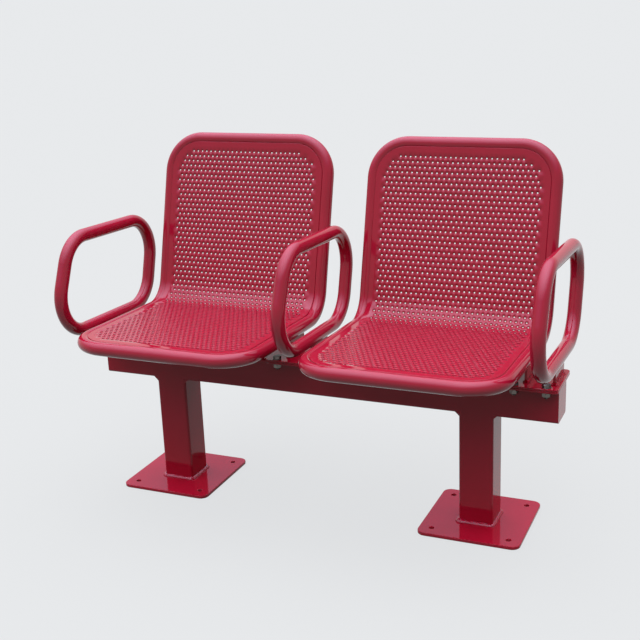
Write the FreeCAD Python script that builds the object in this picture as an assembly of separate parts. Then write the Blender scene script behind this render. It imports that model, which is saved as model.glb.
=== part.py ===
"""Two-seat public bench: bent tube seats with sheet panels and arm loops on a floor-mounted beam.

Millimetres and degrees. X runs along the beam, Y from front to back, Z up.
The origin is on the floor, at the centre of the bench's overall width and depth.
"""
import FreeCAD, Part
import math
import os

# Base plates and posts
plate_side = 240.0
plate_t = 8.0
plate_corner = 20.0
anchor_hole_d = 12.0
anchor_inset = 30.0
post_side = 80.0
post_wall = 3.0
post_inner_corner = 3.0
post_length = 272.0
post_inset = 185.0
base_weld_leg = 6.0
post_weld_leg = 8.0

# Beam
beam_depth = 80.0
beam_height = 80.0
beam_wall = 3.0
beam_inner_corner = 3.0
beam_overrun = 10.0
beam_cap_t = 3.0

# Round tube of the seat rims and arm loops
tube_d = 32.0

# Seats, measured along the tube's centre line
seat_width = 446.0
seat_reach = 286.0
pan_length = 429.0
pan_tilt = 2.0
back_length = 436.0
back_angle = 103.0
seat_bend_r = 78.0
rim_corner_r = 86.0
sheet_t = 2.0
panel_drop = 1.2
panel_gap = 0.3

# Openings of the seat panels. The real sheet has small round holes, 31 in a row. A coarser pattern of
# six-sided openings stands for them, in the same field and with as large a share of the sheet open
opening_pitch = 33.0
open_share = 0.16
opening_margin = 30.0
opening_corner_margin = 26.0

# Arm loops, measured along the tube's centre line
arm_gap = 30.0
arm_reach = 262.0
arm_base = 412.0
arm_height = 226.0
arm_front_lean = 23.5
arm_back_lean = 16.5
arm_top_tilt = 2.6
arm_corner_r = 88.0

# Carriers that hold the seats and arms on the beam
saddle_t = 5.0
foot_t = 5.0
carrier_corner = 10.0
carrier_edge = 2.0
carrier_reach = 50.0
carrier_margin = 13.0
saddle_weld_leg = 5.0
web_t = 6.0
web_overhang = 5.0
seat_web_height = 40.0
arm_web_height = 37.0
web_weld_leg = 5.0

# Carrier bolts, M10
bolt_d = 10.0
bolt_hole_clearance = 1.0
bolt_inset = 27.0
hex_across_flats = 17.0
head_height = 6.4
nut_height = 8.4
thread_clearance = 0.1
washer_d = 20.0
washer_t = 2.0
washer_clearance = 3.0
bolt_tail = 4.0

# Sections, levels and places that follow from the sizes above
tube_r = tube_d / 2
post_corner = post_inner_corner + post_wall
beam_corner = beam_inner_corner + beam_wall
bolt_hole_d = bolt_d + bolt_hole_clearance
anchor_offset = plate_side / 2 - anchor_inset
beam_bottom = plate_t + post_length
beam_top = beam_bottom + beam_height
saddle_top = beam_top + saddle_t
foot_top = saddle_top + foot_t
rim_to_arm = arm_gap + tube_d
arm_pitch = seat_width + 2 * rim_to_arm
outer_rim = arm_pitch - rim_to_arm
beam_length = 2 * (arm_pitch + beam_overrun)
beam_end = beam_length / 2
post_place = beam_end - post_inset
web_length = beam_depth + 2 * web_overhang
bolt_y = beam_depth / 2 + max(web_overhang, saddle_weld_leg) + washer_clearance + washer_d / 2
carrier_depth = 2 * (bolt_y + washer_d / 2 + carrier_edge)


def vec(x, y, z):
    return FreeCAD.Vector(x, y, z)


def turned(angle):
    """Unit vector in the side view, at an angle up from straight back."""
    a = math.radians(angle)
    return vec(0, math.cos(a), math.sin(a))


def rounded_path(corners):
    """Closed wire through corner points, each rounded by an arc of its own radius."""
    tangents = []
    count = len(corners)
    for i, (point, radius) in enumerate(corners):
        to_last = (corners[i - 1][0] - point).normalize()
        to_next = (corners[(i + 1) % count][0] - point).normalize()
        half = to_last.getAngle(to_next) / 2
        reach = radius / math.tan(half)
        inward = (to_last + to_next).normalize()
        crown = point + inward * (radius / math.sin(half) - radius)
        tangents.append((point + to_last * reach, crown, point + to_next * reach))
    seam = (tangents[-1][2] + tangents[0][0]) / 2
    edges = []
    here = seam
    for start, crown, end in tangents:
        edges.append(Part.LineSegment(here, start).toShape())
        edges.append(Part.Arc(start, crown, end).toShape())
        here = end
    edges.append(Part.LineSegment(here, seam).toShape())
    return Part.Wire(edges)


def rounded_rectangle(width, depth, radius, z):
    """Closed wire centred on the Z axis, lying level at height z."""
    a = width / 2
    b = depth / 2
    corners = [vec(a, b, z), vec(-a, b, z), vec(-a, -b, z), vec(a, -b, z)]
    return rounded_path([(point, radius) for point in corners])


def plate(width, depth, corner, z, thickness):
    return Part.Face(rounded_rectangle(width, depth, corner, z)).extrude(vec(0, 0, thickness))


def box_tube(width, depth, wall, inner_corner, length):
    """Square tube standing on the XY plane."""
    outer = plate(width, depth, inner_corner + wall, 0, length)
    return outer.cut(plate(width - 2 * wall, depth - 2 * wall, inner_corner, 0, length))


def closed_tube(path):
    """Round tube along a closed path. Its bore has no way out, so it is left filled."""
    first = path.OrderedEdges[0]
    start = first.valueAt(first.FirstParameter)
    along = first.tangentAt(first.FirstParameter)
    section = Part.Face(Part.Wire(Part.Circle(start, along, tube_r).toShape()))
    return path.makePipe(section)


def lay_along_beam(shape, x):
    """Turn a shape made on the Z axis to run along the beam, starting at x."""
    along_x = FreeCAD.Rotation(vec(0, 1, 0), 90)
    shape.Placement = FreeCAD.Placement(vec(x, 0, beam_bottom + beam_height / 2), along_x)
    return shape


def upright(x, y, z, diameter, height):
    return Part.makeCylinder(diameter / 2, height, vec(x, y, z))


def hexagon(x, y, z, across_flats, height):
    radius = across_flats / math.sqrt(3)
    points = []
    for i in range(7):
        a = math.radians(60 * i)
        points.append(vec(x + radius * math.cos(a), y + radius * math.sin(a), z))
    return Part.Face(Part.makePolygon(points)).extrude(vec(0, 0, height))


def fillet_strip(root, leg_a, leg_b, length):
    """Straight weld of triangular section, run both ways from a point in the corner."""
    along = leg_a.cross(leg_b).normalize() * length
    points = [root, root + leg_a, root + leg_b, root]
    triangle = Part.Face(Part.makePolygon([point - along / 2 for point in points]))
    return triangle.extrude(along)


parts = {}

# Beam with a welded cap on each end
open_length = beam_length - 2 * beam_cap_t
beam = box_tube(beam_height, beam_depth, beam_wall, beam_inner_corner, open_length)
parts["beam"] = lay_along_beam(beam, -open_length / 2)
for side, x in (("left", -beam_end), ("right", beam_end - beam_cap_t)):
    cap = plate(beam_height, beam_depth, beam_corner, 0, beam_cap_t)
    parts["beam_cap_" + side] = lay_along_beam(cap, x)
beam_envelope = lay_along_beam(plate(beam_height, beam_depth, beam_corner, 0, beam_length), -beam_end)

# Floor plate, post and the welds at both ends of the post. Under the beam the post has fillet
# welds on its two sides, and flush welds that fill the beam's rounded edges at front and back
post_weld_length = post_side - 2 * post_corner
for side, x in (("left", -post_place), ("right", post_place)):
    base = plate(plate_side, plate_side, plate_corner, 0, plate_t)
    for anchor_x in (-anchor_offset, anchor_offset):
        for anchor_y in (-anchor_offset, anchor_offset):
            base = base.cut(upright(anchor_x, anchor_y, 0, anchor_hole_d, plate_t))

    post = box_tube(post_side, post_side, post_wall, post_inner_corner, post_length)
    post.translate(vec(0, 0, plate_t))

    toe = post_side + 2 * base_weld_leg
    toe_line = rounded_rectangle(toe, toe, post_corner + base_weld_leg, plate_t)
    throat_line = rounded_rectangle(post_side, post_side, post_corner, plate_t + base_weld_leg)
    bead = Part.makeLoft([toe_line, throat_line], True, True)
    bead = bead.cut(plate(post_side, post_side, post_corner, plate_t, base_weld_leg))

    strips = []
    for sx in (-1, 1):
        root = vec(sx * post_side / 2, 0, beam_bottom)
        leg_out = vec(sx * post_weld_leg, 0, 0)
        leg_down = vec(0, 0, -post_weld_leg)
        strips.append(fillet_strip(root, leg_out, leg_down, post_weld_length))
    for y in (-beam_depth / 2, beam_depth / 2 - beam_corner):
        corner = vec(-post_weld_length / 2, y, beam_bottom)
        filler = Part.makeBox(post_weld_length, beam_corner, beam_corner, corner)
        strips.append(filler.cut(beam_envelope))

    parts["base_plate_" + side] = base
    parts["post_" + side] = post
    parts["base_weld_" + side] = bead
    parts["post_top_weld_" + side] = Part.makeCompound(strips)
    for name in ("base_plate_", "post_", "base_weld_", "post_top_weld_"):
        parts[name + side].translate(vec(x, 0, 0))

# Arm loops: one closed tube each, a rounded quadrilateral that leans back
arm_front_z = foot_top + arm_web_height + tube_r + arm_reach * math.tan(math.radians(pan_tilt))
front_edge = turned(90 - arm_front_lean)
back_edge = turned(90 - arm_back_lean)
top_run = turned(-arm_top_tilt)
front_foot = vec(0, -arm_reach, arm_front_z)
front_head = front_foot + front_edge * (arm_height / front_edge.z)
back_foot = front_foot + turned(-pan_tilt) * arm_base
span = front_head - back_foot
back_rise = span.cross(top_run).x / back_edge.cross(top_run).x
back_head = back_foot + back_edge * back_rise
arm_corners = [back_foot, back_head, front_head, front_foot]
for place, x in (("left", -arm_pitch), ("middle", 0), ("right", arm_pitch)):
    path = rounded_path([(corner + vec(x, 0, 0), arm_corner_r) for corner in arm_corners])
    parts["arm_loop_" + place] = closed_tube(path)

# Seat rims: one closed tube each, nearly level at the pan and bent up into the back
rim_front_z = foot_top + seat_web_height + tube_r + seat_reach * math.tan(math.radians(pan_tilt))
pan_run = turned(-pan_tilt)
back_run = turned(180 - back_angle - pan_tilt)
pan_front = vec(0, -seat_reach, rim_front_z)
bend_point = pan_front + pan_run * pan_length
back_top = bend_point + back_run * back_length
seat_places = {"left": -arm_pitch / 2, "right": arm_pitch / 2}
for side, x in seat_places.items():
    near = vec(x - seat_width / 2, 0, 0)
    far = vec(x + seat_width / 2, 0, 0)
    path = rounded_path([
        (pan_front + far, rim_corner_r),
        (bend_point + far, seat_bend_r),
        (back_top + far, rim_corner_r),
        (back_top + near, rim_corner_r),
        (bend_point + near, seat_bend_r),
        (pan_front + near, rim_corner_r),
    ])
    parts["seat_rim_" + side] = closed_tube(path)

# Seat panels: one bent sheet inside each rim, just below the crest of the tube
panel_top = tube_r - panel_drop
panel_under = panel_top - sheet_t
panel_inset = math.sqrt(tube_r ** 2 - panel_under ** 2) + panel_gap
panel_width = seat_width - 2 * panel_inset
pan_normal = turned(90 - pan_tilt)
back_normal = turned(270 - back_angle - pan_tilt)
half_turn = math.radians(180 - back_angle) / 2
crown_normal = (back_run - pan_run).normalize()
bend_centre = bend_point + crown_normal * (seat_bend_r / math.cos(half_turn))


def panel_line(rise):
    """Side view of one face of the sheet, at a height above the tube's centre line."""
    bend_r = seat_bend_r - rise
    front = pan_front + pan_run * panel_inset + pan_normal * rise
    bend_start = bend_centre - pan_normal * bend_r
    bend_crown = bend_centre - crown_normal * bend_r
    bend_end = bend_centre - back_normal * bend_r
    top = back_top - back_run * panel_inset + back_normal * rise
    return [
        Part.LineSegment(front, bend_start).toShape(),
        Part.Arc(bend_start, bend_crown, bend_end).toShape(),
        Part.LineSegment(bend_end, top).toShape(),
    ]


upper = panel_line(panel_top)
lower = panel_line(panel_under)
front_end = Part.LineSegment(upper[0].firstVertex().Point, lower[0].firstVertex().Point).toShape()
top_end = Part.LineSegment(upper[-1].lastVertex().Point, lower[-1].lastVertex().Point).toShape()
section = Part.Face(Part.Wire(Part.__sortEdges__(upper + [top_end] + lower + [front_end])))
panel_corner = rim_corner_r - panel_inset
sheet = section.extrude(vec(panel_width, 0, 0))
sheet.translate(vec(-panel_width / 2, 0, 0))
corner_edges = [edge for edge in sheet.Edges if abs(edge.Length - sheet_t) < sheet_t / 100]
sheet = sheet.makeFillet(panel_corner, corner_edges)

# Openings through the panels, square to the sheet, in staggered rows from its front to its top.
# Places along the sheet are measured from the crown of the bend
mid_bend_r = seat_bend_r - (panel_top + panel_under) / 2
half_bend = half_turn * mid_bend_r
bend_reach = seat_bend_r * math.tan(half_turn)
sheet_front = -half_bend - (pan_length - bend_reach - panel_inset)
sheet_top = half_bend + (back_length - bend_reach - panel_inset)
sheet_middle = (sheet_front + sheet_top) / 2
sheet_length = sheet_top - sheet_front
field_width = panel_width - 2 * opening_margin
field_length = sheet_length - 2 * opening_margin
columns = round(field_width / opening_pitch)
rows = round(field_length / opening_pitch)
column_pitch = field_width / columns
row_pitch = field_length / rows
opening_flats = math.sqrt(open_share * column_pitch * row_pitch * 2 / math.sqrt(3))
cutter = hexagon(0, 0, -sheet_t, opening_flats, 2 * sheet_t)
openings = []
for row in range(rows + 1):
    along = sheet_top - opening_margin - row * row_pitch
    turn = max(-half_turn, min(half_turn, along / mid_bend_r))
    normal_angle = 90 - pan_tilt + math.degrees(half_turn + turn)
    row_centre = bend_centre - turned(normal_angle) * mid_bend_r
    row_centre += turned(normal_angle - 90) * (along - turn * mid_bend_r)
    square_to_sheet = FreeCAD.Rotation(vec(1, 0, 0), normal_angle - 90)
    stagger = row % 2
    for column in range(columns + 1 - stagger):
        across = (column + stagger / 2) * column_pitch - field_width / 2
        past_side = max(0, abs(across) - panel_width / 2 + panel_corner)
        past_end = max(0, abs(along - sheet_middle) - sheet_length / 2 + panel_corner)
        if math.hypot(past_side, past_end) < panel_corner - opening_corner_margin:
            opening = cutter.copy()
            opening.Placement = FreeCAD.Placement(row_centre + vec(across, 0, 0), square_to_sheet)
            openings.append(opening)
sheet = sheet.cut(openings)
for side, x in seat_places.items():
    panel = sheet.copy()
    panel.translate(vec(x, 0, 0))
    parts["seat_panel_" + side] = panel

# Carriers: a saddle plate welded on the beam and a foot plate bolted down on it,
# with upright webs that take the arm loop and the seat rims
carrier_spans = {
    "left": (-arm_pitch - carrier_margin, -outer_rim + carrier_reach),
    "middle": (-rim_to_arm - carrier_reach, rim_to_arm + carrier_reach),
    "right": (outer_rim - carrier_reach, arm_pitch + carrier_margin),
}
webs = {
    "left": (
        ("arm_web_left", -arm_pitch, arm_web_height, "arm_loop_left"),
        ("seat_web_left_outer", -outer_rim, seat_web_height, "seat_rim_left"),
    ),
    "middle": (
        ("seat_web_left_inner", -rim_to_arm, seat_web_height, "seat_rim_left"),
        ("arm_web_middle", 0, arm_web_height, "arm_loop_middle"),
        ("seat_web_right_inner", rim_to_arm, seat_web_height, "seat_rim_right"),
    ),
    "right": (
        ("seat_web_right_outer", outer_rim, seat_web_height, "seat_rim_right"),
        ("arm_web_right", arm_pitch, arm_web_height, "arm_loop_right"),
    ),
}
bolt_places = []
for place, (x_low, x_high) in carrier_spans.items():
    width = x_high - x_low
    middle_x = (x_low + x_high) / 2
    saddle = plate(width, carrier_depth, carrier_corner, beam_top, saddle_t)
    foot = plate(width, carrier_depth, carrier_corner, saddle_top, foot_t)
    saddle.translate(vec(middle_x, 0, 0))
    foot.translate(vec(middle_x, 0, 0))
    for x in (x_low + bolt_inset, x_high - bolt_inset):
        for y in (-bolt_y, bolt_y):
            hole = upright(x, y, beam_top, bolt_hole_d, saddle_t + foot_t)
            saddle = saddle.cut(hole)
            foot = foot.cut(hole)
            bolt_places.append((x, y))
    parts["saddle_plate_" + place] = saddle
    parts["foot_plate_" + place] = foot

    saddle_welds = []
    for sy in (-1, 1):
        root = vec(middle_x, sy * (beam_depth / 2 - beam_corner), beam_top)
        leg_out = vec(0, sy * (beam_corner + saddle_weld_leg), 0)
        leg_down = vec(0, 0, -beam_corner - saddle_weld_leg)
        strip = fillet_strip(root, leg_out, leg_down, width - 2 * carrier_corner)
        saddle_welds.append(strip.cut(beam_envelope))
    parts["saddle_weld_" + place] = Part.makeCompound(saddle_welds)

    web_welds = []
    for name, x, height, tube in webs[place]:
        corner = vec(x - web_t / 2, -web_length / 2, foot_top)
        web = Part.makeBox(web_t, web_length, height + tube_r / 2, corner)
        parts[name] = web.cut(parts[tube])
        for sx in (-1, 1):
            root = vec(x + sx * web_t / 2, 0, foot_top)
            leg_out = vec(sx * web_weld_leg, 0, 0)
            leg_up = vec(0, 0, web_weld_leg)
            web_welds.append(fillet_strip(root, leg_out, leg_up, web_length))
    parts["web_welds_" + place] = Part.makeCompound(web_welds)

# Carrier bolts, each with a washer under its head and another over its nut
head_z = foot_top + washer_t
nut_z = beam_top - washer_t - nut_height
tail_z = nut_z - bolt_tail
bolts = []
washers = []
nuts = []
for x, y in bolt_places:
    shank = upright(x, y, tail_z, bolt_d, head_z - tail_z)
    bolts.append(hexagon(x, y, head_z, hex_across_flats, head_height).fuse(shank))
    bore = upright(x, y, nut_z, bolt_d + thread_clearance, nut_height)
    nuts.append(hexagon(x, y, nut_z, hex_across_flats, nut_height).cut(bore))
    for z in (foot_top, beam_top - washer_t):
        ring = upright(x, y, z, washer_d, washer_t)
        washers.append(ring.cut(upright(x, y, z, bolt_hole_d, washer_t)))
parts["carrier_bolts"] = Part.makeCompound(bolts)
parts["carrier_washers"] = Part.makeCompound(washers)
parts["carrier_nuts"] = Part.makeCompound(nuts)

# The bench is moved so that the origin lies midway between its front and back
centre_y = (pan_front.y + back_top.y) / 2
os.makedirs("parts", exist_ok=True)
for name, shape in parts.items():
    shape.translate(vec(0, -centre_y, 0))
    shape.exportStep("parts/" + name + ".step")
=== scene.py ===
"""Looks of a two-seat public bench: welded steel base, bent tube seats with perforated sheet, arm loops."""
import math
import bmesh
import bpy
from mathutils import Matrix, Vector
from mathutils.geometry import delaunay_2d_cdt
from mathutils.noise import noise


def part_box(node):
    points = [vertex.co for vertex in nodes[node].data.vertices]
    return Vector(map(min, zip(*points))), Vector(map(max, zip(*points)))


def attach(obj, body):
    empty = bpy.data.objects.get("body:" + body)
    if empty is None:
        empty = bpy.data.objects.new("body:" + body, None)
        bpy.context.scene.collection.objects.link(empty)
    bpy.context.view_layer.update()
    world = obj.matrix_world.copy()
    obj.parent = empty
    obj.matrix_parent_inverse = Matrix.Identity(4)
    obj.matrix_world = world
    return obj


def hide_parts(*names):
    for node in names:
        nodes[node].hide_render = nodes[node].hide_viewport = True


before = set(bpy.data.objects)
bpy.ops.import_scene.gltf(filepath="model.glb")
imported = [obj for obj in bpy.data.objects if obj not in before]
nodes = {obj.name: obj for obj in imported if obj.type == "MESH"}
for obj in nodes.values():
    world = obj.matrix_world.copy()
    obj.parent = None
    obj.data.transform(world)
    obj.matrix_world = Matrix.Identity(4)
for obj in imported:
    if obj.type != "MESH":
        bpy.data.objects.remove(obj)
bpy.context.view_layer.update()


# Base plates: two square plates of 8 mm steel that lie on the floor, with rounded corners
# and a hole for an anchor bolt near each corner. Blasting before the coat leaves their edges
# softly broken, and they are coated together with the welded base.
plate_corner = 0.020
plate_edge = 0.0014
anchor_inset = 0.030
anchor_hole_r = 0.006
corner_steps = 6
drilled_steps = 24
edge_turns = (0, 30, 60, 90)
up = Vector((0, 0, 1))


def linear(code):
    """Linear colour of an sRGB hex value."""
    colour = []
    for i in (1, 3, 5):
        c = int(code[i:i + 2], 16) / 255
        colour.append(c / 12.92 if c <= 0.04045 else ((c + 0.055) / 1.055) ** 2.4)
    return (*colour, 1.0)


def add_node(tree, kind, settings, links):
    """Add a node to a tree, with its properties or input values and the sockets that feed it."""
    node = tree.nodes.new(kind)
    for name, value in settings.items():
        if isinstance(name, str) and hasattr(node, name):
            setattr(node, name, value)
        else:
            node.inputs[name].default_value = value
    for name, socket in links.items():
        tree.links.new(socket, node.inputs[name])
    return node


# Polyester powder coat, sprayed and baked on blasted steel. It shows a deep red under a clear reflection,
# with a faint orange peel where the powder flowed and a slightly uneven depth.
peel_size = 0.004
peel_depth = 0.000012
depth_size = 0.090
coat_smoothest = 0.06
coat_roughest = 0.11


def powder_coat(name, deep, light, ior):
    """Material of a baked powder coat between two depths of its colour."""
    coat = bpy.data.materials.new(name)
    coat.use_nodes = True
    tree = coat.node_tree
    tree.nodes.clear()
    place = add_node(tree, "ShaderNodeTexCoord", {}, {}).outputs["Object"]
    peel = add_node(tree, "ShaderNodeTexNoise", {"Scale": 1 / peel_size, "Detail": 1.0}, {"Vector": place})
    cloud = add_node(tree, "ShaderNodeTexNoise", {"Scale": 1 / depth_size, "Detail": 3.0}, {"Vector": place})
    # A colour mix has its share at input 0, its two colours at 6 and 7, and its result at output 2.
    depth = add_node(tree, "ShaderNodeMix", {"data_type": "RGBA", 6: linear(deep), 7: linear(light)},
                     {0: cloud.outputs["Fac"]})
    gloss = add_node(tree, "ShaderNodeMapRange", {"To Min": coat_smoothest, "To Max": coat_roughest},
                     {"Value": cloud.outputs["Fac"]})
    skin = add_node(tree, "ShaderNodeBump", {"Distance": peel_depth}, {"Height": peel.outputs["Fac"]})
    shader = add_node(tree, "ShaderNodeBsdfPrincipled", {"IOR": ior},
                      {"Base Color": depth.outputs[2], "Roughness": gloss.outputs["Result"],
                       "Normal": skin.outputs["Normal"]})
    add_node(tree, "ShaderNodeOutputMaterial", {}, {"Surface": shader.outputs["BSDF"]})
    return coat


# The coat on the base is thin and shines less. Its IOR starts from 1.5 and is lowered until the faces
# of posts and beam that are seen square on stay as dark as the real ones.
base_coat = powder_coat("semi_gloss_red_powder_coat", "#9E0B1E", "#AD1027", 1.27)


def rounded_outline(width, depth, corner, steps):
    """Points round a rectangle with rounded corners about the origin, each with the way out of the metal."""
    outline = []
    for turn, (sx, sy) in enumerate(((1, 1), (-1, 1), (-1, -1), (1, -1))):
        middle = Vector((sx * (width / 2 - corner), sy * (depth / 2 - corner), 0))
        for step in range(steps + 1):
            angle = math.radians(90 * (turn + step / steps))
            out = Vector((math.cos(angle), math.sin(angle), 0))
            outline.append((middle + out * corner, out))
    return outline


def hole_outline(x, y, radius, steps):
    """Points round a hole, each with the way out of the metal, towards the middle of the hole."""
    outline = []
    for step in range(steps):
        angle = 2 * math.pi * step / steps
        ray = Vector((math.cos(angle), math.sin(angle), 0))
        outline.append((Vector((x, y, 0)) + ray * radius, -ray))
    return outline


def add_ring(shape, points):
    """Add a ring of vertices."""
    return [shape.verts.new(point) for point in points]


def join_rings(shape, ring, other):
    """Quads between two closed rings of as many vertices."""
    for i in range(len(ring)):
        shape.faces.new((ring[i - 1], ring[i], other[i], other[i - 1]))


def add_piece(name, shape, material, slot, *replaced):
    """Make a piece from a finished shape. It rides on the bench and stands for the CAD nodes named."""
    bmesh.ops.recalc_face_normals(shape, faces=shape.faces)
    for face in shape.faces:
        face.smooth = True
    mesh = bpy.data.meshes.new(name)
    shape.to_mesh(mesh)
    shape.free()
    mesh.materials.append(material)
    piece = bpy.data.objects.new(name, mesh)
    bpy.context.scene.collection.objects.link(piece)
    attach(piece, "root")
    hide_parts(*replaced)
    return piece


def edged_plate(low, high, corner, edge, holes):
    """Level plate between two corner points, with softly rounded edges. A hole is (x, y, radius)."""
    shape = bmesh.new()
    middle = Vector(((low.x + high.x) / 2, (low.y + high.y) / 2, 0))
    border = rounded_outline(high.x - low.x, high.y - low.y, corner, corner_steps)
    outlines = [[(middle + point, out) for point, out in border]]
    outlines += [hole_outline(x, y, radius, drilled_steps) for x, y, radius in holes]
    levels = []
    for degrees in edge_turns:
        angle = math.radians(degrees)
        levels.append((edge * (1 - math.sin(angle)), high.z - edge * (1 - math.cos(angle))))
    levels += [(inset, low.z + high.z - z) for inset, z in reversed(levels)]
    rings = []
    for inset, z in levels:
        rings.append([add_ring(shape, [point - out * inset + up * z for point, out in outline])
                      for outline in outlines])
    for upper, lower in zip(rings, rings[1:]):
        for ring, other in zip(upper, lower):
            join_rings(shape, ring, other)
    for flat_rings in (rings[0], rings[-1]):
        rims = [shape.edges.get((ring[i - 1], ring[i])) for ring in flat_rings for i in range(len(ring))]
        for rim in rims:
            rim.smooth = False
        bmesh.ops.triangle_fill(shape, edges=rims, use_beauty=True)
    return shape


for side in ("left", "right"):
    low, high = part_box("base_plate_" + side)
    holes = []
    for x in (low.x + anchor_inset, high.x - anchor_inset):
        for y in (low.y + anchor_inset, high.y - anchor_inset):
            holes.append((x, y, anchor_hole_r))
    plate = edged_plate(low, high, plate_corner, plate_edge, holes)
    add_piece("floor_plate_" + side, plate, base_coat, "base_paint", "base_plate_" + side)


# Posts: two upright lengths of cold-formed square steel tube, 80 by 80 by 3 mm, sawn square.
# They are welded on the middle of the base plates and carry the beam.
for side in ("left", "right"):
    nodes["post_" + side].material_slots[0].material = base_coat


# Base welds: one fillet bead round the foot of each post, laid by hand with an electric arc.
# The bead is rippled and a little uneven, and swells where it starts and stops at two corners.
base_weld_leg = 0.006
base_weld_bulge = 0.0009
post_corner = 0.006
post_corner_steps = 5
bead_station = 0.0011
bead_facets = 6
bead_sink = 0.0003
bead_end_share = 0.45
ripple_pitch = 0.0042
ripple_depth = 0.0006
ripple_bow = 0.30
wander = 0.30
wander_length = 0.014
wander_spread = (31, 17)
swell = 0.0028
swell_length = 0.009
swell_places = (0.012, 0.155)

# The powder melts into a thick film on the foot beads, which shines more and shows as a thin pink light along
# them.
# Their colours are also a little lighter than the base coat's: a painted highlight along the beads.
bead_coat = powder_coat("gloss_red_powder_coat_on_welds", "#A20F26", "#B01630", 1.5)


def split_runs(outline, spacing):
    """Add points along the runs of a closed outline that are longer than a spacing."""
    split = []
    for i, (point, out) in enumerate(outline):
        onward, next_out = outline[(i + 1) % len(outline)]
        count = max(1, round((onward - point).length / spacing))
        for k in range(count):
            split.append((point.lerp(onward, k / count), out.lerp(next_out, k / count).normalized()))
    return split


def weld_bead(shape, spine, leg, bulge, closed, swells=(), end_share=bead_end_share):
    """Add a weld bead along a spine of (root point, way along one face, way along the other)."""
    travelled = 0.0
    rings = []
    total = sum((spine[i][0] - spine[i - 1][0]).length for i in range(1, len(spine)))
    for i, (root, way_a, way_b) in enumerate(spine):
        if i:
            travelled += (root - spine[i - 1][0]).length
        # The wander also depends on the place, so that no two beads are alike.
        spread = (travelled / wander_length, root.x * wander_spread[0], root.y * wander_spread[1])
        reach = leg * (1 + wander * noise(Vector(spread)))
        for start in swells:
            gap = min(abs(travelled - start), total - abs(travelled - start))
            reach += swell * math.exp(-(gap / swell_length) ** 2)
        if not closed:
            reach *= min(1.0, end_share + (1 - end_share) * min(travelled, total - travelled) / leg)
        outward = (way_a + way_b).normalized()
        ring = [root - outward * bead_sink]
        for j in range(bead_facets + 1):
            t = j / bead_facets
            crescent = travelled / ripple_pitch + ripple_bow * (2 * t - 1) ** 2
            ripple = ripple_depth * math.cos(2 * math.pi * crescent)
            rise = (bulge * reach / leg + ripple) * 4 * t * (1 - t)
            ring.append(root + (way_a * (1 - t) + way_b * t) * reach + outward * rise)
        rings.append(add_ring(shape, ring))
    for ring, other in zip(rings, rings[1:]):
        join_rings(shape, ring, other)
    if closed:
        join_rings(shape, rings[-1], rings[0])
    else:
        shape.faces.new(rings[0])
        shape.faces.new(rings[-1])


for side in ("left", "right"):
    low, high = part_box("post_" + side)
    foot = Vector(((low.x + high.x) / 2, (low.y + high.y) / 2, low.z))
    outline = rounded_outline(high.x - low.x, high.y - low.y, post_corner, post_corner_steps)
    spine = [(foot + point, out, up) for point, out in split_runs(outline, bead_station)]
    bead = bmesh.new()
    weld_bead(bead, spine, base_weld_leg, base_weld_bulge, True, swell_places)
    add_piece("foot_bead_" + side, bead, bead_coat, "base_paint", "base_weld_" + side)


# Beam: one length of 80 mm square steel tube lying on the posts, closed at each end by a welded cap
# that is dressed flush. Hollow fillet beads hold the posts' sides, and the beam's rounded lower edges
# are filled over the posts' fronts and backs and ground flush.
beam_corner = 0.006
post_weld_leg = 0.0080
post_weld_hollow = -0.0010
root_depth = 0.0027
bead_end = 0.0008
bead_crease = 40


def straight_spine(start, end, way_a, way_b):
    """Even stations along a straight weld."""
    count = max(2, round((end - start).length / bead_station))
    return [(start.lerp(end, i / count), way_a, way_b) for i in range(count + 1)]


for name in ("beam", "beam_cap_left", "beam_cap_right"):
    nodes[name].material_slots[0].material = base_coat
for side in ("left", "right"):
    low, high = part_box("post_" + side)
    bead = bmesh.new()
    for x, sx in ((low.x, -1), (high.x, 1)):
        root_x = x - sx * root_depth
        root_z = high.z + root_depth
        spine = straight_spine(Vector((root_x, low.y + bead_end, root_z)),
                               Vector((root_x, high.y - bead_end, root_z)), Vector((sx, 0, 0)), -up)
        weld_bead(bead, spine, post_weld_leg + 2 * root_depth, post_weld_hollow, False, end_share=1.0)
    for y, sy in ((low.y, 1), (high.y, -1)):
        fill_middle = Vector(((low.x + high.x) / 2, y + sy * beam_corner / 2, high.z + beam_corner / 2))
        fill_size = Matrix.Diagonal((high.x - low.x - 2 * root_depth, beam_corner, beam_corner, 1))
        bmesh.ops.create_cube(bead, size=1, matrix=Matrix.Translation(fill_middle) @ fill_size)
    piece = add_piece("post_head_beads_" + side, bead, base_coat, "base_paint", "post_top_weld_" + side)
    piece.data.set_sharp_from_angle(angle=math.radians(bead_crease))


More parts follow.
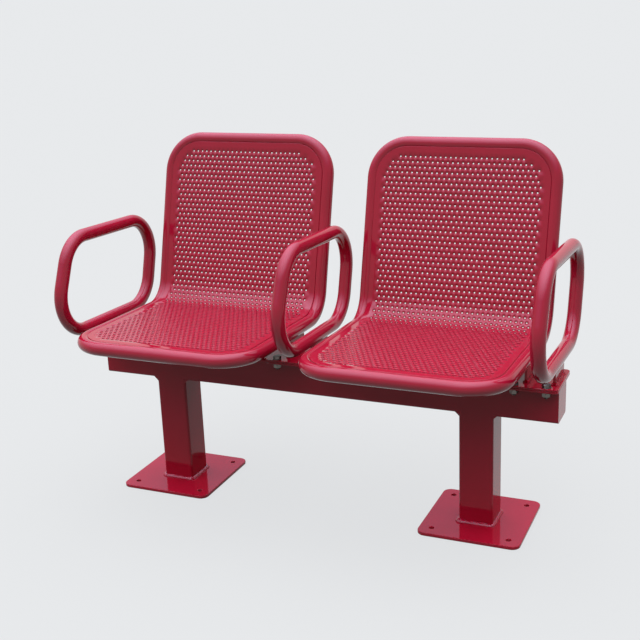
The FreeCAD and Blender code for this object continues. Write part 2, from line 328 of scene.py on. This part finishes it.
# Carriers: at three places a saddle plate is welded across the beam, and a foot plate of the same
# outline is bolted down on it. Thin webs stand on the foot plates under the tubes. All are cut from
# 5 and 6 mm steel plate, with fillet beads along the beam and both sides of each web.
carrier_corner = 0.010
carrier_edge = 0.0010
bolt_inset = 0.027
bolt_y = 0.058
bolt_hole_r = 0.0055
saddle_weld_leg = 0.011
saddle_weld_bulge = 0.0005
web_weld_leg = 0.005
web_weld_bulge = 0.0006
webs = {
    "left": ("arm_web_left", "seat_web_left_outer"),
    "middle": ("seat_web_left_inner", "arm_web_middle", "seat_web_right_inner"),
    "right": ("seat_web_right_outer", "arm_web_right"),
}
beam_low, beam_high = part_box("beam")
beam_y = (beam_low.y + beam_high.y) / 2
bolt_places = []
for carrier, names in webs.items():
    low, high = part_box("foot_plate_" + carrier)
    carrier_bolts = [(x, y) for x in (low.x + bolt_inset, high.x - bolt_inset)
                     for y in (beam_y - bolt_y, beam_y + bolt_y)]
    bolt_places += carrier_bolts
    holes = [(x, y, bolt_hole_r) for x, y in carrier_bolts]
    for kind in ("saddle_plate_", "foot_plate_"):
        plate = edged_plate(*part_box(kind + carrier), carrier_corner, carrier_edge, holes)
        add_piece("edged_" + kind + carrier, plate, base_coat, "base_paint", kind + carrier)

    bead = bmesh.new()
    for y, sy in ((beam_low.y, -1), (beam_high.y, 1)):
        root_y = y - sy * beam_corner
        spine = straight_spine(Vector((low.x + carrier_corner, root_y, beam_high.z)),
                               Vector((high.x - carrier_corner, root_y, beam_high.z)),
                               Vector((0, sy, 0)), -up)
        weld_bead(bead, spine, saddle_weld_leg, saddle_weld_bulge, False)
    add_piece("saddle_beads_" + carrier, bead, base_coat, "base_paint", "saddle_weld_" + carrier)

    bead = bmesh.new()
    for name in names:
        nodes[name].material_slots[0].material = base_coat
        web_low, web_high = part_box(name)
        for x, sx in ((web_low.x, -1), (web_high.x, 1)):
            spine = straight_spine(Vector((x, web_low.y, web_low.z)), Vector((x, web_high.y, web_low.z)),
                                   Vector((sx, 0, 0)), up)
            weld_bead(bead, spine, web_weld_leg, web_weld_bulge, False)
    add_piece("web_beads_" + carrier, bead, base_coat, "base_paint", "web_welds_" + carrier)


# Seat rims: one 32 mm round steel tube for each seat, bent to a closed loop that lies nearly level
# under the sitter and turns up into the back. The butt joint is ground smooth before coating.

# The coat on tubes and sheets is fuller and glossier: crimson with clear, cool light along each crest.
# Its IOR is lowered from 1.5 too, but less.
tube_coat = powder_coat("gloss_red_powder_coat", "#970B20", "#A61029", 1.40)
for side in ("left", "right"):
    nodes["seat_rim_" + side].material_slots[0].material = tube_coat


# Seat panels: one 2 mm steel sheet inside each rim, punched flat with staggered rows of round holes,
# then bent with the seat and welded in just below the crest of the tube. The punch draws the metal in
# round each hole, and the coat rounds these hollows and the sheet's edge further.
tube_r = 0.016
pan_length = 0.429
pan_tilt = 2.0
back_length = 0.436
back_angle = 103.0
seat_bend_r = 0.078
rim_corner_r = 0.086
panel_corner_steps = 12
panel_drop = 0.0012
weld_overlap = 0.0005
sheet_t = 0.002
hole_throat_r = 0.00175
hole_lip = 0.00345
lip_start_tilt = 15
under_lip = 0.0004
edge_lip = 0.0010
calm_inset = 0.012
hole_sides = 10
hole_pitch = 0.0125
row_pitch = 0.01260
first_row = 0.0345
field_margin = 0.032
field_corner = 0.048
shoulder_set_back = 0.36
shoulder_drop = 0.30
fill_inside = 1
same_spot = 1e-7

panel_top = tube_r - panel_drop
panel_under = panel_top - sheet_t
panel_inset = math.sqrt(tube_r ** 2 - panel_under ** 2) - weld_overlap
half_turn = math.radians(180 - back_angle) / 2
mid_bend_r = seat_bend_r - (panel_top + panel_under) / 2
bend_middle = 360 - pan_tilt - 90 + math.degrees(half_turn)
bend_reach = seat_bend_r * math.tan(half_turn)
half_bend = half_turn * mid_bend_r
front_end = -half_bend - pan_length + bend_reach
top_end = half_bend + back_length - bend_reach
middle_v = (front_end + top_end) / 2
sheet_length = top_end - front_end


def turned(angle):
    """Unit vector in the side view, at an angle in degrees up from straight back."""
    return Vector((0, math.cos(math.radians(angle)), math.sin(math.radians(angle))))


rim_low, rim_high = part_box("seat_rim_left")
seat_width = rim_high.x - rim_low.x - 2 * tube_r
back_run = turned(180 - back_angle - pan_tilt)
crown = (back_run - turned(-pan_tilt)).normalized()
back_top = Vector((0, rim_high.y - tube_r, rim_high.z - tube_r))
bend_centre = back_top - back_run * back_length + crown * (seat_bend_r / math.cos(half_turn))


def bend_at(spot):
    """Turn from the middle of the bend, in radians, at a spot on the flat sheet."""
    return max(-half_turn, min(half_turn, spot.y / mid_bend_r))


def on_sheet(seat_x, spot, rise):
    """Point on a seat's bent sheet from a spot on the flat one, measured from the middle of the bend."""
    angle = bend_at(spot)
    way = bend_middle + math.degrees(angle)
    straight = turned(way + 90) * (spot.y - angle * mid_bend_r)
    return bend_centre + turned(way) * (seat_bend_r - rise) + straight + Vector((seat_x + spot.x, 0, 0))


def facing(spot, out, tilt):
    """Direction a rounded rim faces, tilted from the sitter's side of the sheet out of the metal."""
    way = bend_middle + math.degrees(bend_at(spot))
    along = Vector((out.x, 0, 0)) + turned(way + 90) * out.y
    return along * math.sin(math.radians(tilt)) - turned(way) * math.cos(math.radians(tilt))


def lip_profile(lip, start_tilt, under):
    """Rings down a rounded rim from the sheet's face to its underside: set back, drop and tilt of each."""
    return ((lip, 0.0, start_tilt),
            (lip * shoulder_set_back, shoulder_drop * sheet_t / 2, (start_tilt + 90) / 2),
            (0.0, sheet_t / 2, 90),
            (under, sheet_t, 180 - start_tilt))


# The flat blank, the same for both seats: its edge, its holes, and a calm line between them that keeps
# the rounded look of the lips off the plain margin. Faces fill the rest of the sheet.
border = rounded_outline(seat_width - 2 * panel_inset, sheet_length - 2 * panel_inset,
                         rim_corner_r - panel_inset, panel_corner_steps)
sheet_middle = Vector((0, middle_v, 0))
sheet_edge = [(sheet_middle + point, out) for point, out in split_runs(border, hole_pitch)]
calm = [point - out * calm_inset for point, out in sheet_edge]
edge_profile = lip_profile(edge_lip, 0, 0.0)
hole_profile = lip_profile(hole_lip, lip_start_tilt, under_lip)
outlines = [(sheet_edge, edge_profile)]
columns = int(seat_width / hole_pitch / 2)
rows = int((sheet_length - 2 * first_row) / row_pitch) + 1
for row in range(rows):
    v = top_end - first_row - row * row_pitch
    shift = hole_pitch / 4 * (1 if row % 2 else -1)
    for column in range(-columns, columns + 1):
        u = column * hole_pitch + shift
        past_u = max(0, abs(u) - (seat_width / 2 - field_margin - field_corner))
        past_v = max(0, abs(v - middle_v) - (sheet_length / 2 - field_margin - field_corner))
        if math.hypot(past_u, past_v) <= field_corner:
            outlines.append((hole_outline(u, v, hole_throat_r, hole_sides), hole_profile))
flat = []
loops = []
for outline, profile in outlines:
    loops.append(list(range(len(flat), len(flat) + len(outline))))
    flat += [(point - out * profile[0][0]).xy for point, out in outline]
calm_run = [(len(flat) + i, len(flat) + (i + 1) % len(calm)) for i in range(len(calm))]
flat += [point.xy for point in calm]
filled = delaunay_2d_cdt(flat, calm_run, loops, fill_inside, same_spot, True)
_, _, faces, spot_from, _, face_from = filled

for side in ("left", "right"):
    low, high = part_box("seat_rim_" + side)
    seat_x = (low.x + high.x) / 2
    shape = bmesh.new()
    normals = []
    levels = []
    for level in range(len(edge_profile)):
        rings = []
        for outline, profile in outlines:
            set_back, drop, tilt = profile[level]
            spots = [point - out * set_back for point, out in outline]
            rings.append(add_ring(shape, [on_sheet(seat_x, spot, panel_top - drop) for spot in spots]))
            normals += [facing(spot, out, tilt) for spot, (_, out) in zip(spots, outline)]
        levels.append(rings)
    for upper, lower in zip(levels, levels[1:]):
        for ring, other in zip(upper, lower):
            join_rings(shape, ring, other)
    for rings, rise, tilt in ((levels[0], panel_top, 0), (levels[-1], panel_under, 180)):
        verts = [vert for ring in rings for vert in ring]
        verts += add_ring(shape, [on_sheet(seat_x, point, rise) for point in calm])
        normals += [facing(point, up, tilt) for point in calm]
        # A face inside the edge and inside no hole is metal.
        for face, inside in zip(faces, face_from):
            if inside == [0]:
                shape.faces.new([verts[spot_from[i][0]] for i in face])
    panel = add_piece("perforated_sheet_" + side, shape, tube_coat, "panel_paint", "seat_panel_" + side)
    panel.data.normals_split_custom_set_from_vertices(normals)


# Arm loops: three closed loops of the same 32 mm steel tube, bent to a rounded shape that leans back.
# One stands at each end and one is shared between the seats, each welded on top of its web.
for carrier in webs:
    nodes["arm_loop_" + carrier].material_slots[0].material = tube_coat


# Carrier bolts: twelve M10 hexagon bolts of zinc-plated steel with rolled threads, each with a washer
# under its head and over its nut. They are fitted after coating, so they stay grey.
bolt_r = 0.005
bolt_tail = 0.004
thread_pitch = 0.0015
thread_depth = 0.0009
rings_per_thread = 4
across_flats = 0.017
chamfer_share = 0.94
chamfer_slope = math.tan(math.radians(30))
head_height = 0.0064
nut_height = 0.0084
bore_play = 0.00005
washer_r = 0.010
washer_t = 0.002
washer_edge = 0.0003
washer_steps = 32
round_steps = 48
flat_steps = round_steps // 6
step_turn = 360 / round_steps
flat_turn = 60
bolt_turn = 37
nut_turn = 23
fastener_crease = 25

# Zinc plating on steel, dulled by weather: a grey metal with a soft sheen, cloudy where the plating bath
# left it uneven. It is drawn darker and, in places, browner than weathered zinc: partly painted shade and
# painted red reflection, for the nuts that sit in shade under the red plates.
plating_cloud = 0.004
plating_smoothest = 0.30
plating_roughest = 0.48
zinc = bpy.data.materials.new("dull_zinc_plated_steel")
zinc.use_nodes = True
tree = zinc.node_tree
tree.nodes.clear()
place = add_node(tree, "ShaderNodeTexCoord", {}, {}).outputs["Object"]
cloud = add_node(tree, "ShaderNodeTexNoise", {"Scale": 1 / plating_cloud, "Detail": 4.0}, {"Vector": place})
# Both greys hold painted shade and a painted warm reflection, besides the weathered zinc's own tone.
tone = add_node(tree, "ShaderNodeMix", {"data_type": "RGBA", 6: linear("#585655"), 7: linear("#706962")},
                {0: cloud.outputs["Fac"]})
sheen = add_node(tree, "ShaderNodeMapRange", {"To Min": plating_smoothest, "To Max": plating_roughest},
                 {"Value": cloud.outputs["Fac"]})
shader = add_node(tree, "ShaderNodeBsdfPrincipled", {"Metallic": 1.0},
                  {"Base Color": tone.outputs[2], "Roughness": sheen.outputs["Result"]})
add_node(tree, "ShaderNodeOutputMaterial", {}, {"Surface": shader.outputs["BSDF"]})


def round_points(x, y, radius, z, steps):
    """Points of a level circle."""
    angles = [2 * math.pi * step / steps for step in range(steps)]
    return [(x + radius * math.cos(a), y + radius * math.sin(a), z) for a in angles]


def hexagon_rings(x, y, low, high, turn):
    """Four rings of a hexagon prism with a turned chamfer at both ends."""
    apothem = across_flats / 2
    face_r = chamfer_share * apothem
    rings = [[], [], [], []]
    for k in range(round_steps):
        angle = math.radians(turn + step_turn * k)
        from_flat = math.radians(step_turn * (k % flat_steps) - flat_turn / 2)
        radius = apothem / math.cos(from_flat)
        drop = (radius - face_r) * chamfer_slope
        for ring, r, z in zip(rings, (face_r, radius, radius, face_r), (low, low + drop, high - drop, high)):
            ring.append((x + r * math.cos(angle), y + r * math.sin(angle), z))
    return rings


foot_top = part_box("foot_plate_left")[1].z
saddle_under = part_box("saddle_plate_left")[0].z
head_z = foot_top + washer_t
nut_top = saddle_under - washer_t
nut_z = nut_top - nut_height
tail_z = nut_z - bolt_tail
bolts = bmesh.new()
nuts = bmesh.new()
washers = bmesh.new()
for i, (x, y) in enumerate(bolt_places):
    turn = bolt_turn * i % flat_turn
    rings = [add_ring(bolts, ring) for ring in hexagon_rings(x, y, head_z, head_z + head_height, turn)]
    for ring, other in zip(rings, rings[1:]):
        join_rings(bolts, ring, other)
    bolts.faces.new(rings[-1])
    shank = []
    count = round((head_z - tail_z) / (thread_pitch / rings_per_thread))
    for k in range(count + 1):
        z = head_z - (head_z - tail_z) * k / count
        ring = []
        for step in range(round_steps):
            lead = (z / thread_pitch - step / round_steps) % 1
            radius = bolt_r - thread_depth * abs(2 * lead - 1)
            angle = math.radians(turn + step_turn * step)
            ring.append((x + radius * math.cos(angle), y + radius * math.sin(angle), z))
        shank.append(add_ring(bolts, ring))
    join_rings(bolts, rings[0], shank[0])
    for ring, other in zip(shank, shank[1:]):
        join_rings(bolts, ring, other)
    bolts.faces.new(shank[-1])

    rings = [add_ring(nuts, ring) for ring in hexagon_rings(x, y, nut_z, nut_top, turn + nut_turn)]
    bore = [add_ring(nuts, round_points(x, y, bolt_r + bore_play, z, round_steps)) for z in (nut_top, nut_z)]
    for ring, other in zip(rings + bore, rings[1:] + bore + rings[:1]):
        join_rings(nuts, ring, other)

    for low_z in (foot_top, nut_top):
        high_z = low_z + washer_t
        profile = [(bolt_hole_r, low_z), (washer_r - washer_edge, low_z), (washer_r, low_z + washer_edge),
                   (washer_r, high_z - washer_edge), (washer_r - washer_edge, high_z), (bolt_hole_r, high_z)]
        rings = [add_ring(washers, round_points(x, y, r, z, washer_steps)) for r, z in profile]
        for ring, other in zip(rings, rings[1:] + rings[:1]):
            join_rings(washers, ring, other)
for name, shape, node in (("hexagon_bolts", bolts, "carrier_bolts"), ("hexagon_nuts", nuts, "carrier_nuts"),
                          ("flat_washers", washers, "carrier_washers")):
    piece = add_piece(name, shape, zinc, "zinc_plate", node)
    piece.data.set_sharp_from_angle(angle=math.radians(fastener_crease))


# Floor: a plain pale floor of no particular material. It is matt and throws little light back up at
# the bench, takes its shadow, and looks pale to whatever sees it, straight or in a reflection.
pale = "#E6E8EA"
floor_shade = "#4A453D"
floor_size = 600.0
own_glow = 0.845


def background_rays(tree):
    """The kinds of ray in a tree, and 1 for those that see the background, straight, mirrored or through."""
    rays = add_node(tree, "ShaderNodeLightPath", {}, {})
    mirrored = add_node(tree, "ShaderNodeMath", {"operation": "MAXIMUM"},
                        {0: rays.outputs["Is Glossy Ray"], 1: rays.outputs["Is Transmission Ray"]})
    seen = add_node(tree, "ShaderNodeMath", {"operation": "MAXIMUM"},
                    {0: rays.outputs["Is Camera Ray"], 1: mirrored.outputs[0]})
    return rays, seen


half = floor_size / 2
floor_mesh = bpy.data.meshes.new("floor")
floor_mesh.from_pydata([(-half, -half, 0), (half, -half, 0), (half, half, 0), (-half, half, 0)], [],
                       [(0, 1, 2, 3)])
floor = bpy.data.objects.new("floor", floor_mesh)
bpy.context.scene.collection.objects.link(floor)
floor_paint = bpy.data.materials.new("matt_pale_floor")
floor_paint.use_nodes = True
tree = floor_paint.node_tree
tree.nodes.clear()
_, seen = background_rays(tree)
strength = add_node(tree, "ShaderNodeMath", {"operation": "MULTIPLY", 1: own_glow}, {0: seen.outputs[0]})
matt = add_node(tree, "ShaderNodeBsdfDiffuse", {"Color": linear(floor_shade)}, {})
even = add_node(tree, "ShaderNodeEmission", {"Color": linear(pale)}, {"Strength": strength.outputs[0]})
both = add_node(tree, "ShaderNodeAddShader", {}, {0: matt.outputs[0], 1: even.outputs[0]})
add_node(tree, "ShaderNodeOutputMaterial", {}, {"Surface": both.outputs[0]})
floor_mesh.materials.append(floor_paint)


# Light: one soft dome over the bench, brightest overhead and cool like daylight. It falls off towards
# the horizon as a power of the height, slower on the left than on the right. The camera sees only a pale
# surround there, and reflections see whichever of dome and surround is the lighter.
dome_radiance = 6.4
dome_colour = "#D4E3FF"
left_power = 1.6
right_power = 3.0
power_reach = 0.7

world = bpy.data.worlds.new("soft_dome")
bpy.context.scene.world = world
world.use_nodes = True
tree = world.node_tree
tree.nodes.clear()
way = add_node(tree, "ShaderNodeTexCoord", {}, {}).outputs["Generated"]
axes = add_node(tree, "ShaderNodeSeparateXYZ", {}, {"Vector": way})
upward = add_node(tree, "ShaderNodeMath", {"operation": "MAXIMUM", 1: 0.0}, {0: axes.outputs["Z"]})
power = add_node(tree, "ShaderNodeMapRange", {"From Min": -power_reach, "From Max": power_reach,
                                              "To Min": left_power, "To Max": right_power},
                 {"Value": axes.outputs["X"]})
dome = add_node(tree, "ShaderNodeMath", {"operation": "POWER"},
                {0: upward.outputs[0], 1: power.outputs["Result"]})
radiance = add_node(tree, "ShaderNodeMath", {"operation": "MULTIPLY", 1: dome_radiance}, {0: dome.outputs[0]})
rays, seen = background_rays(tree)
off_camera = add_node(tree, "ShaderNodeMath", {"operation": "SUBTRACT", 0: 1.0},
                      {1: rays.outputs["Is Camera Ray"]})
felt = add_node(tree, "ShaderNodeMath", {"operation": "MULTIPLY"},
                {0: radiance.outputs[0], 1: off_camera.outputs[0]})
sky = add_node(tree, "ShaderNodeVectorMath", {"operation": "SCALE", 0: linear(dome_colour)[:3]},
               {"Scale": felt.outputs[0]})
around = add_node(tree, "ShaderNodeMix", {"data_type": "RGBA", "blend_type": "LIGHTEN", 7: linear(pale)},
                  {0: seen.outputs[0], 6: sky.outputs["Vector"]})
glow = add_node(tree, "ShaderNodeBackground", {}, {"Color": around.outputs[2]})
add_node(tree, "ShaderNodeOutputWorld", {}, {"Surface": glow.outputs[0]})


# Camera: level with a standing viewer's chest, in front of the bench and to the right, looking down at
# the seats. Its place and turn were fitted to the bench's edges.
camera_place = (1.01186, -2.26838, 1.22600)
camera_azimuth = 23.8029
camera_elevation = 17.1126
camera_roll = -2.2834
focal_length = 62.053
camera_data = bpy.data.cameras.new("camera")
camera_data.lens = focal_length
camera = bpy.data.objects.new("camera", camera_data)
bpy.context.scene.collection.objects.link(camera)
camera.matrix_world = (Matrix.Translation(camera_place)
                       @ Matrix.Rotation(math.radians(camera_azimuth), 4, "Z")
                       @ Matrix.Rotation(math.radians(90 - camera_elevation), 4, "X")
                       @ Matrix.Rotation(math.radians(camera_roll), 4, "Z"))
bpy.context.scene.camera = camera
bpy.context.scene.view_settings.view_transform = "Standard"
